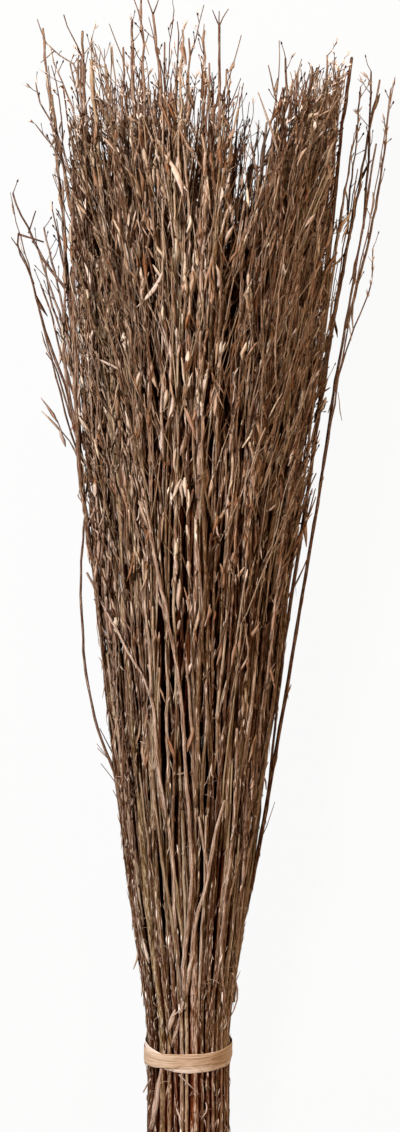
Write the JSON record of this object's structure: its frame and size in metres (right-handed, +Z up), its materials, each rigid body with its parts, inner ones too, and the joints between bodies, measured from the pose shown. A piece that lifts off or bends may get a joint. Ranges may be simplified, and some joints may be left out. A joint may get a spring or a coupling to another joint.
{
  "type": "bundle of dried flower stems",
  "caption": "Tall bundle of thin dried brown branching stems with papery leaves and small buds, held by a flat raffia tie and fanning out above it.",
  "frame": {"origin": "centre of the bundle's footprint, on the surface that it lies on", "axes": "+Y along the bundle from its cut ends to its tips, +X across it, +Z up"},
  "size_m": [0.3486, 1.0549, 0.1603],
  "materials": {
    "stem_bark": "matt dry bark, streaked lengthwise, with papery leaf remains",
    "raffia": "pale tan raffia strip with fine lengthwise fibres and a soft sheen"
  },
  "bodies": {
    "root": {"stem_01": "stem_bark", "stem_02": "stem_bark", "stem_03": "stem_bark", "stem_04": "stem_bark", "stem_05": "stem_bark", "stem_06": "stem_bark", "stem_07": "stem_bark", "stem_08": "stem_bark", "stem_09": "stem_bark", "stem_10": "stem_bark", "stem_11": "stem_bark", "stem_12": "stem_bark", "stem_13": "stem_bark", "stem_14": "stem_bark", "stem_15": "stem_bark", "stem_16": "stem_bark", "stem_17": "stem_bark", "stem_18": "stem_bark", "stem_19": "stem_bark", "stem_20": "stem_bark", "stem_21": "stem_bark", "stem_22": "stem_bark", "stem_23": "stem_bark", "stem_24": "stem_bark", "stem_25": "stem_bark", "stem_26": "stem_bark", "stem_27": "stem_bark", "stem_28": "stem_bark", "stem_29": "stem_bark", "stem_30": "stem_bark", "stem_31": "stem_bark", "stem_32": "stem_bark", "stem_33": "stem_bark", "stem_34": "stem_bark", "stem_35": "stem_bark", "stem_36": "stem_bark", "stem_37": "stem_bark", "stem_38": "stem_bark", "stem_39": "stem_bark", "stem_40": "stem_bark", "stem_41": "stem_bark", "stem_42": "stem_bark", "stem_43": "stem_bark", "stem_44": "stem_bark", "stem_45": "stem_bark", "stem_46": "stem_bark", "stem_47": "stem_bark", "stem_48": "stem_bark", "stem_49": "stem_bark", "stem_50": "stem_bark", "stem_51": "stem_bark", "stem_52": "stem_bark", "stem_53": "stem_bark", "stem_54": "stem_bark", "stem_55": "stem_bark", "stem_56": "stem_bark", "stem_57": "stem_bark", "inner_stems": "stem_bark", "raffia_tie": "raffia"}
  },
  "joints": []
}
